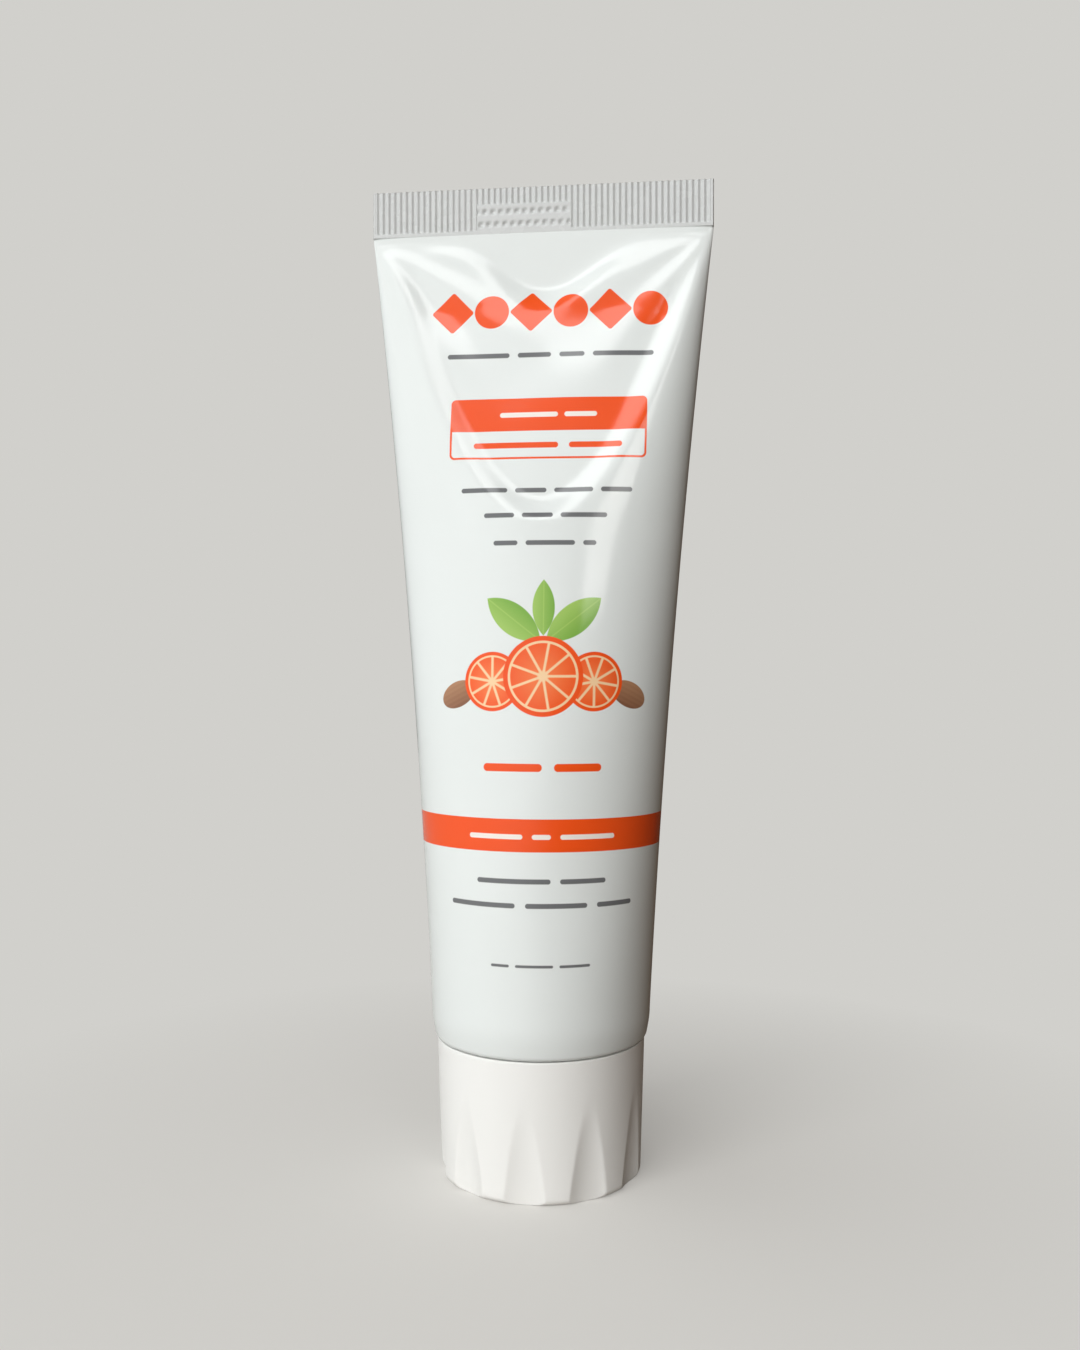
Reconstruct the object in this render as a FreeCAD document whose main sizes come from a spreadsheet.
import FreeCAD, Part
import math
import os
import Sketcher

V = FreeCAD.Vector

# Squeeze tube of toothpaste standing on its screw cap, the sealed end up.
# Millimetres. Origin at the centre of the cap's closed face, +Z up, crimp along X, printed front facing -Y.

# Driving sizes: name, value, meaning
SIZES = [
    ("tube_radius", 17.5, "outer radius of the round end of the sleeve"),
    ("wall", 0.35, "laminate thickness"),
    ("sleeve_length", 128.7, "from the sleeve's lower edge to the crimp"),
    ("crimp_height", 7.4, "height of the sealed end"),
    ("crimp_thick", 1.1, "thickness of the sealed end over the ribs"),
    ("rib_pitch", 0.96, "spacing of the crimp ribs"),
    ("rib_count", 55, "grooves across each face of the crimp"),
    ("rib_depth", 0.14, "depth of the grooves between the ribs"),
    ("rib_margin", 0.45, "plain strip under the ribs"),
    ("narrow_height", 0.62, "share of the length where the flat front starts"),
    ("heel_height", 4.5, "height of the drawn-in lower edge"),
    ("heel_lean", 0.45, "how far the heel leans in before its round"),
    ("heel_round", 0.9, "reach of the sleeve's rounded lower edge"),
    ("heel_round_side", 0.26, "how far the middle of that edge lies from the sharp corner"),
    ("cap_height", 21.7, "height of the cap"),
    ("cap_rim_radius", 16.6, "outer radius at the open rim"),
    ("cap_end_radius", 16.0, "outer radius at the closed end"),
    ("cap_wall", 2.0, "thickness of the cap's skirt at the closed end"),
    ("cap_plate", 1.6, "thickness of the closed end"),
    ("cap_round", 1.2, "reach of the closed end's rounded edge"),
    ("cap_round_side", 0.35, "how far the middle of that edge lies from the sharp corner"),
    ("lip", 0.4, "width of the flat lip turned in under the shoulder"),
    ("seam_gap", 0.3, "gap between the rim and the sleeve"),
    ("flute_radius", 9.0, "radius of the cutter that makes a flute"),
    ("flute_depth", 1.0, "depth of a flute at the closed end"),
    ("flute_rise", 14.4, "height where a flute runs out"),
    ("flute_turn", 2.3, "degrees that the front flute is turned to the left"),
    ("flute_count", 10, "flutes round the cap"),
    ("collar_wall", 1.2, "thickness of the cap's inner collar"),
    ("collar_drop", 3.0, "collar mouth below the cap's rim"),
    ("thread_gap", 0.45, "radial room between the neck and the collar"),
    ("cap_rib_width", 0.9, "thickness of a rib between collar and skirt"),
    ("cap_rib_height", 9.0, "height of those ribs over the plate"),
    ("cap_rib_count", 10, "ribs round the collar"),
    ("seat_gap", 0.3, "gap between the neck's tip and its seat"),
    ("plug_length", 2.4, "length of the sealing plug in the orifice"),
    ("plug_gap", 0.3, "radial gap round the plug"),
    ("neck_radius", 6.0, "outer radius of the neck"),
    ("neck_length", 16.25, "from the underside of the shoulder to the neck's tip"),
    ("orifice_radius", 3.6, "radius of the orifice"),
    ("neck_chamfer", 0.6, "chamfer of the neck's tip"),
    ("weld_gap", 0.1, "room between the shoulder's skirt and the sleeve"),
    ("shoulder_thick", 1.3, "thickness of the moulded shoulder"),
    ("skirt_thick", 0.9, "thickness of the shoulder's welded skirt"),
    ("paste_gap", 0.05, "tiny gap round the fill, so that it is its own solid"),
]

OUTER_SIDES = 48         # flats round the sleeve's outside
INNER_SIDES = 40         # flats round its inside and the fill
GIRTH_STEPS = 180        # chords that measure the way round a section
CLOSE = 1e-7             # search for a half-depth stops here
SECTION_SHARES = (0.0, 0.15, 0.31, 0.47, 0.62, 0.71, 0.79, 0.86, 0.92, 0.965, 1.0)
WIDENING = 0.62          # share of the widening that goes evenly with height
SPREAD = 0.78            # how soon the flat front reaches its full width
CORNER = 0.3             # softness of the flat front's ends
EDGE_RADIUS = 0.5        # least half-width of the sleeve's rounded side
GROOVE_MOUTH = 0.43      # half-width of a groove at the crimp's face, counted out to its cutter, in pitches
GROOVE_FLOOR = 0.1       # half-width of a groove's floor in pitches
NECK_TIP = "cap_height + seam_gap + wall - neck_length"
LEAST_HOLLOW = 0.1       # least half-depth of the inner form at the crimp

doc = FreeCAD.newDocument("toothpaste_tube")
sheet = doc.addObject("Spreadsheet::Sheet", "sizes")
for row, (name, value, meaning) in enumerate(SIZES, start=1):
    sheet.set(f"A{row}", name)
    sheet.set(f"B{row}", str(value))
    sheet.set(f"C{row}", meaning)
    sheet.setAlias(f"B{row}", name)
doc.recompute()


def size(name):
    """Value of a driving size."""
    return float(sheet.get(name))


# Helpers for bodies, sketches and features
def origin_feature(body, role):
    """One of a body's own origin planes or axes."""
    return next(f for f in body.Origin.OriginFeatures if f.Role == role)


def new_body(name):
    body = doc.addObject("PartDesign::Body", name)
    body.Label = name
    return body


def new_sketch(body, name, plane):
    sketch = body.newObject("Sketcher::SketchObject", name)
    sketch.AttachmentSupport = [(origin_feature(body, plane), "")]
    sketch.MapMode = "FlatFace"
    return sketch


def add_outline(sketch, corners):
    """Closed outline. A corner is (x, y, bx, by): bx and by bind it to the sheet, None fixes it at zero."""
    count = len(corners)
    for i in range(count):
        start = V(corners[i][0], corners[i][1], 0)
        end = V(corners[(i + 1) % count][0], corners[(i + 1) % count][1], 0)
        sketch.addGeometry(Part.LineSegment(start, end), False)
    for i in range(count):
        sketch.addConstraint(Sketcher.Constraint("Coincident", i, 2, (i + 1) % count, 1))
    for i, (x, y, across, up) in enumerate(corners):
        for kind, value, formula in (("DistanceX", x, across), ("DistanceY", y, up)):
            index = sketch.addConstraint(Sketcher.Constraint(kind, -1, 1, i, 1, value))
            if formula:
                sketch.setExpression(f"Constraints[{index}]", formula)


def corner(across, up):
    """A corner from two sums of aliases and numbers, such as 'cap_height - wall'."""
    names = {name: size(name) for name, _, _ in SIZES}
    return (value_of(across, names), value_of(up, names),
            bound_to_sheet(across, names), bound_to_sheet(up, names))


def bound_to_sheet(formula, names):
    """The same sum as an expression over the sheet, or None for a plain number."""
    words = [f"sizes.{word}" if word in names else word for word in formula.split()]
    return " ".join(words) if any(word in names for word in formula.split()) else None


def value_of(formula, names):
    """Value of a sum and difference of aliases and numbers."""
    total = 0.0
    sign = 1.0
    for word in formula.split():
        if word in "+-":
            sign = 1.0 if word == "+" else -1.0
        else:
            total += sign * (names[word] if word in names else float(word))
    return total


def revolve(body, sketch, name):
    feature = body.newObject("PartDesign::Revolution", name)
    feature.Profile = sketch
    feature.ReferenceAxis = (origin_feature(body, "Z_Axis"), [""])
    feature.Angle = 360
    return feature


def polar(body, original, name, count):
    pattern = body.newObject("PartDesign::PolarPattern", name)
    pattern.Originals = [original]
    pattern.Axis = (origin_feature(body, "Z_Axis"), [""])
    pattern.Angle = 360
    pattern.setExpression("Occurrences", f"sizes.{count}")
    body.Tip = pattern
    return pattern


# Cap: one moulding with skirt, closed end, inner collar, seat and plug, ribs and flutes
def make_cap():
    body = new_body("cap")
    sketch = new_sketch(body, "cap_section", "XZ_Plane")
    seat = f"{NECK_TIP} - seat_gap"
    add_outline(sketch, [
        corner("0", "0"),
        corner("cap_end_radius - cap_round", "0"),
        corner("cap_end_radius - cap_round_side", "cap_round_side"),
        corner("cap_end_radius", "cap_round"),
        corner("cap_rim_radius", "cap_height"),
        corner("cap_end_radius - cap_wall", "cap_height"),
        corner("cap_end_radius - cap_wall", "cap_plate"),
        corner("neck_radius + thread_gap + collar_wall", "cap_plate"),
        corner("neck_radius + thread_gap + collar_wall", "cap_height - collar_drop"),
        corner("neck_radius + thread_gap", "cap_height - collar_drop"),
        corner("neck_radius + thread_gap", seat),
        corner("orifice_radius - plug_gap", seat),
        corner("orifice_radius - plug_gap", f"{NECK_TIP} + plug_length"),
        corner("0", f"{NECK_TIP} + plug_length"),
    ])
    revolve(body, sketch, "cap_blank")

    # One rib stands on the closed end and joins collar and skirt
    rib_sketch = new_sketch(body, "cap_rib_section", "XY_Plane")
    rib_sketch.AttachmentOffset = FreeCAD.Placement(V(0, 0, size("cap_plate") / 2), FreeCAD.Rotation())
    rib_sketch.setExpression("AttachmentOffset.Base.z", "sizes.cap_plate / 2")
    half = size("cap_rib_width") / 2
    inner = size("neck_radius") + size("thread_gap") + size("collar_wall") / 2
    outer = size("cap_end_radius") - size("cap_wall") / 2 - size("flute_depth") / 2
    inner_formula = "sizes.neck_radius + sizes.thread_gap + sizes.collar_wall / 2"
    outer_formula = "sizes.cap_end_radius - sizes.cap_wall / 2 - sizes.flute_depth / 2"
    add_outline(rib_sketch, [
        (inner, -half, inner_formula, "-sizes.cap_rib_width / 2"),
        (outer, -half, outer_formula, "-sizes.cap_rib_width / 2"),
        (outer, half, outer_formula, "sizes.cap_rib_width / 2"),
        (inner, half, inner_formula, "sizes.cap_rib_width / 2"),
    ])
    rib = body.newObject("PartDesign::Pad", "cap_rib")
    rib.Profile = rib_sketch
    rib.setExpression("Length", "sizes.cap_rib_height + sizes.cap_plate / 2")
    polar(body, rib, "cap_ribs", "cap_rib_count")

    # A leaning round cutter makes each flute deepest at the closed end and lets it run out in an arch
    turned = body.newObject("PartDesign::CoordinateSystem", "flute_frame")
    turned.AttachmentSupport = [(origin_feature(body, "XY_Plane"), "")]
    turned.MapMode = "FlatFace"
    turned.setExpression("AttachmentOffset.Rotation.Angle", "-sizes.flute_turn")
    doc.recompute()
    flute = body.newObject("PartDesign::SubtractiveCylinder", "flute")
    flute.AttachmentSupport = [(turned, "")]
    flute.MapMode = "ObjectXY"
    flute.setExpression("Radius", "sizes.flute_radius")
    flute.setExpression("Height", "sizes.cap_height * 2")
    taper = "(sizes.cap_rim_radius - sizes.cap_end_radius) / sizes.cap_height"
    lean = f"(sizes.flute_depth / sizes.flute_rise + {taper})"
    flute.AttachmentOffset = FreeCAD.Placement(V(0, 0, 0), FreeCAD.Rotation(V(1, 0, 0), 1))
    low = "sizes.cap_height / 4"
    flute.setExpression("AttachmentOffset.Base.z", f"-{low}")
    flute.setExpression("AttachmentOffset.Base.y", f"-(sizes.cap_end_radius - sizes.flute_depth"
                        f" + sizes.flute_radius - {low} * {lean})")
    flute.setExpression("AttachmentOffset.Rotation.Angle", f"atan({lean})")
    polar(body, flute, "flutes", "flute_count")
    return body


# Head: moulded shoulder with a skirt that the sleeve is welded round, and the neck with its orifice
def make_head():
    body = new_body("head")
    sketch = new_sketch(body, "head_section", "XZ_Plane")
    under = "cap_height + seam_gap + wall"
    skirt_top = "cap_height + seam_gap + heel_height"
    foot_radius = "tube_radius - wall - weld_gap - heel_lean"
    add_outline(sketch, [
        corner("orifice_radius", NECK_TIP),
        corner("neck_radius - neck_chamfer", NECK_TIP),
        corner("neck_radius", f"{NECK_TIP} + neck_chamfer"),
        corner("neck_radius", under),
        corner(f"{foot_radius} - heel_round", under),
        corner(f"{foot_radius} - heel_round_side", f"{under} + heel_round_side"),
        corner(foot_radius, f"{under} + heel_round"),
        corner("tube_radius - wall - weld_gap", skirt_top),
        corner("tube_radius - wall - weld_gap - skirt_thick", skirt_top),
        corner(f"{foot_radius} - skirt_thick", f"{under} + shoulder_thick"),
        corner("orifice_radius", f"{under} + shoulder_thick"),
    ])
    revolve(body, sketch, "head_blank")
    return body


def cylinder(name, radius, base, height):
    """Part cylinder on the Z axis, bound to formulas over the sheet."""
    solid = doc.addObject("Part::Cylinder", name)
    solid.setExpression("Radius", radius)
    solid.setExpression("Height", height)
    solid.setExpression("Placement.Base.z", base)
    return solid


def fuse(name, parts):
    feature = doc.addObject("Part::MultiFuse", name)
    feature.Shapes = parts
    feature.Refine = True
    return feature


def cut(name, base, tool):
    feature = doc.addObject("Part::Cut", name)
    feature.Base = base
    feature.Tool = tool
    return feature


# Sleeve: the girth stays the same at every height, from a circle below to a flat seal above
def section_point(half_width, straight, half_depth, turn):
    """Point of a section: rounded sides joined by a flat front and back of half-length straight."""
    across = math.cos(turn)
    spread = across / math.sqrt(across * across + CORNER * CORNER) * math.sqrt(1 + CORNER * CORNER)
    return ((half_width - straight) * across + straight * spread, half_depth * math.sin(turn))


def girth(half_width, straight, half_depth):
    points = [section_point(half_width, straight, half_depth, 2 * math.pi * i / GIRTH_STEPS)
              for i in range(GIRTH_STEPS)]
    return sum(math.dist(points[i], points[i - 1]) for i in range(GIRTH_STEPS))


def section_at(share):
    """Half-width, straight half-length and half-depth of the sleeve at a share of its length."""
    radius = size("tube_radius")
    flat = math.pi * radius / 2
    least = size("crimp_thick") / 2
    half_width = radius + (flat - radius) * (WIDENING * share + (1 - WIDENING) * share ** 2)
    start = size("narrow_height")
    straight = 0.0
    if share > start:
        straight = (half_width - EDGE_RADIUS) * ((share - start) / (1 - start)) ** SPREAD
    low, high = least, radius
    while high - low > CLOSE:
        middle = (low + high) / 2
        if girth(half_width, straight, middle) > 2 * math.pi * radius:
            high = middle
        else:
            low = middle
    return half_width, straight, (low + high) / 2


def section_ring(share, inset, sides, height):
    """Corners round a section that is moved in by inset."""
    half_width, straight, half_depth = section_at(share)
    half_depth = max(half_depth - inset, LEAST_HOLLOW)
    turns = [2 * math.pi * i / sides for i in range(sides)]
    return [V(*section_point(half_width - inset, max(straight - inset, 0.0), half_depth, turn), height)
            for turn in turns]


def heel_rings(inset, sides):
    """The lower edge: it turns under the shoulder in a small round, then leans out to the full radius."""
    base = size("cap_height") + size("seam_gap")
    foot = size("tube_radius") - size("heel_lean") - inset
    bend, side = size("heel_round"), size("heel_round_side")
    steps = ((foot - bend, base + inset), (foot - side, base + inset + side), (foot, base + inset + bend))
    turns = [2 * math.pi * i / sides for i in range(sides)]
    return [[V(radius * math.cos(turn), radius * math.sin(turn), height) for turn in turns]
            for radius, height in steps]


def flat_face(corners):
    return Part.Face(Part.makePolygon(corners + corners[:1]))


def panelled_loft(rings):
    """Closed form through the rings. A bent sheet has no double curve: two flat triangles span a panel."""
    faces = [flat_face(rings[0]), flat_face(rings[-1])]
    for low, high in zip(rings, rings[1:]):
        for i in range(len(low)):
            faces.append(flat_face([low[i - 1], low[i], high[i]]))
            faces.append(flat_face([low[i - 1], high[i], high[i - 1]]))
    solid = Part.makeSolid(Part.makeShell(faces))
    solid.fix(0.0, 0.0, 0.0)
    return solid


def sleeve_form(name, inset, sides, with_heel):
    """Closed form of the sleeve, moved in by inset."""
    foot = size("cap_height") + size("seam_gap") + size("heel_height")
    length = size("sleeve_length") - size("seam_gap") - size("heel_height")
    rings = heel_rings(inset, sides) if with_heel else []
    rings += [section_ring(share, inset, sides, foot + length * share) for share in SECTION_SHARES]
    feature = doc.addObject("Part::Feature", name)
    feature.Shape = panelled_loft(rings)
    return feature


def make_crimp():
    """Flat sealed end with upright grooves on both faces."""
    body = new_body("end_crimp")
    body.setExpression("Placement.Base.z", "sizes.cap_height + sizes.sleeve_length")
    sketch = new_sketch(body, "crimp_outline", "XY_Plane")
    half_width = "pi * sizes.tube_radius / 2"
    half_thick = "sizes.crimp_thick / 2"
    width, thick = math.pi * size("tube_radius") / 2, size("crimp_thick") / 2
    add_outline(sketch, [
        (-width, -thick, f"-{half_width}", f"-{half_thick}"),
        (width, -thick, half_width, f"-{half_thick}"),
        (width, thick, half_width, half_thick),
        (-width, thick, f"-{half_width}", half_thick),
    ])
    slab = body.newObject("PartDesign::Pad", "crimp_slab")
    slab.Profile = sketch
    slab.setExpression("Length", "sizes.crimp_height")
    doc.recompute()

    add_groove_row(body, "front", -1)
    add_groove_row(body, "back", 1)
    return body


def add_groove_row(body, name, side):
    """Row of upright grooves in one face of the crimp: one is cut, and a pattern repeats it."""
    sketch = new_sketch(body, f"groove_section_{name}", "XY_Plane")
    sketch.AttachmentOffset = FreeCAD.Placement(V(0, 0, size("rib_margin")), FreeCAD.Rotation())
    sketch.setExpression("AttachmentOffset.Base.z", "sizes.rib_margin")
    pitch, depth, thick = size("rib_pitch"), size("rib_depth"), size("crimp_thick") / 2
    first = -pitch * (size("rib_count") - 1) / 2
    first_formula = "-sizes.rib_pitch * (sizes.rib_count - 1) / 2"
    sign = "-" if side < 0 else ""
    corners = []
    for share, out in ((-GROOVE_MOUTH, 1), (GROOVE_MOUTH, 1), (GROOVE_FLOOR, -1), (-GROOVE_FLOOR, -1)):
        corners.append((first + pitch * share, side * (thick + out * depth),
                        f"{first_formula} + sizes.rib_pitch * {share}",
                        f"{sign}(sizes.crimp_thick / 2 + sizes.rib_depth * {out})"))
    add_outline(sketch, corners)
    groove = body.newObject("PartDesign::Pocket", f"groove_{name}")
    groove.Profile = sketch
    groove.Reversed = True
    groove.setExpression("Length", "sizes.crimp_height")
    doc.recompute()
    row = body.newObject("PartDesign::LinearPattern", f"grooves_{name}")
    row.Originals = [groove]
    row.Direction = (origin_feature(body, "X_Axis"), [""])
    row.setExpression("Occurrences", "sizes.rib_count")
    row.setExpression("Length", "sizes.rib_pitch * (sizes.rib_count - 1)")
    body.Tip = row
    doc.recompute()


def make_sleeve():
    outside = sleeve_form("sleeve_outside", 0.0, OUTER_SIDES, True)
    mouth = cylinder("sleeve_mouth",
                     "sizes.tube_radius - sizes.heel_lean - sizes.heel_round - sizes.wall - sizes.lip",
                     "sizes.cap_height + sizes.seam_gap - sizes.wall", "sizes.wall * 3")
    inside = fuse("sleeve_hollow", [sleeve_form("sleeve_inside", size("wall"), INNER_SIDES, True), mouth])
    return fuse("sleeve", [cut("sleeve_wall", outside, inside), make_crimp()])


# Paste: fills the sleeve down to the shoulder and the neck down to the plug
def make_paste():
    upper = sleeve_form("paste_upper", size("wall") + size("paste_gap"), INNER_SIDES, False)
    floor = "sizes.cap_height + sizes.seam_gap + sizes.wall + sizes.shoulder_thick + sizes.paste_gap"
    heel_top = "sizes.cap_height + sizes.seam_gap + sizes.heel_height"
    inner_radius = "sizes.tube_radius - sizes.wall - sizes.weld_gap - sizes.skirt_thick - sizes.paste_gap"
    lower = doc.addObject("Part::Cone", "paste_lower")
    lower.setExpression("Radius1", f"{inner_radius} - sizes.heel_lean")
    lower.setExpression("Radius2", inner_radius)
    lower.setExpression("Height", f"{heel_top} - ({floor})")
    lower.setExpression("Placement.Base.z", floor)
    plug_top = ("sizes.cap_height + sizes.seam_gap + sizes.wall - sizes.neck_length + sizes.plug_length"
                " + sizes.plug_gap")
    neck = cylinder("paste_neck", "sizes.orifice_radius - sizes.paste_gap", plug_top,
                    f"{floor} - ({plug_top})")
    return fuse("paste", [upper, lower, neck])


cap = make_cap()
head = make_head()
sleeve = make_sleeve()
paste = make_paste()
for node, label in ((cap, "cap"), (head, "head"), (sleeve, "sleeve"), (paste, "paste")):
    node.Label = label
doc.recompute()

# Nothing is written unless every object computed and every sub-part is one valid solid
for item in doc.Objects:
    if "Invalid" in item.State or "Error" in item.State:
        raise RuntimeError(f"{item.Label} failed: {item.State}")
os.makedirs("parts", exist_ok=True)
for node in (cap, head, sleeve, paste):
    shape = node.Shape
    if shape.isNull() or not shape.isValid() or len(shape.Solids) != 1:
        raise RuntimeError(f"{node.Label} isn't one valid solid")
    shape.exportStep(f"parts/{node.Label}.step")
    box = shape.BoundBox
    print(node.Label, "volume", round(shape.Volume), "faces", len(shape.Faces),
          "box", [round(v, 2) for v in (box.XMin, box.YMin, box.ZMin, box.XMax, box.YMax, box.ZMax)])
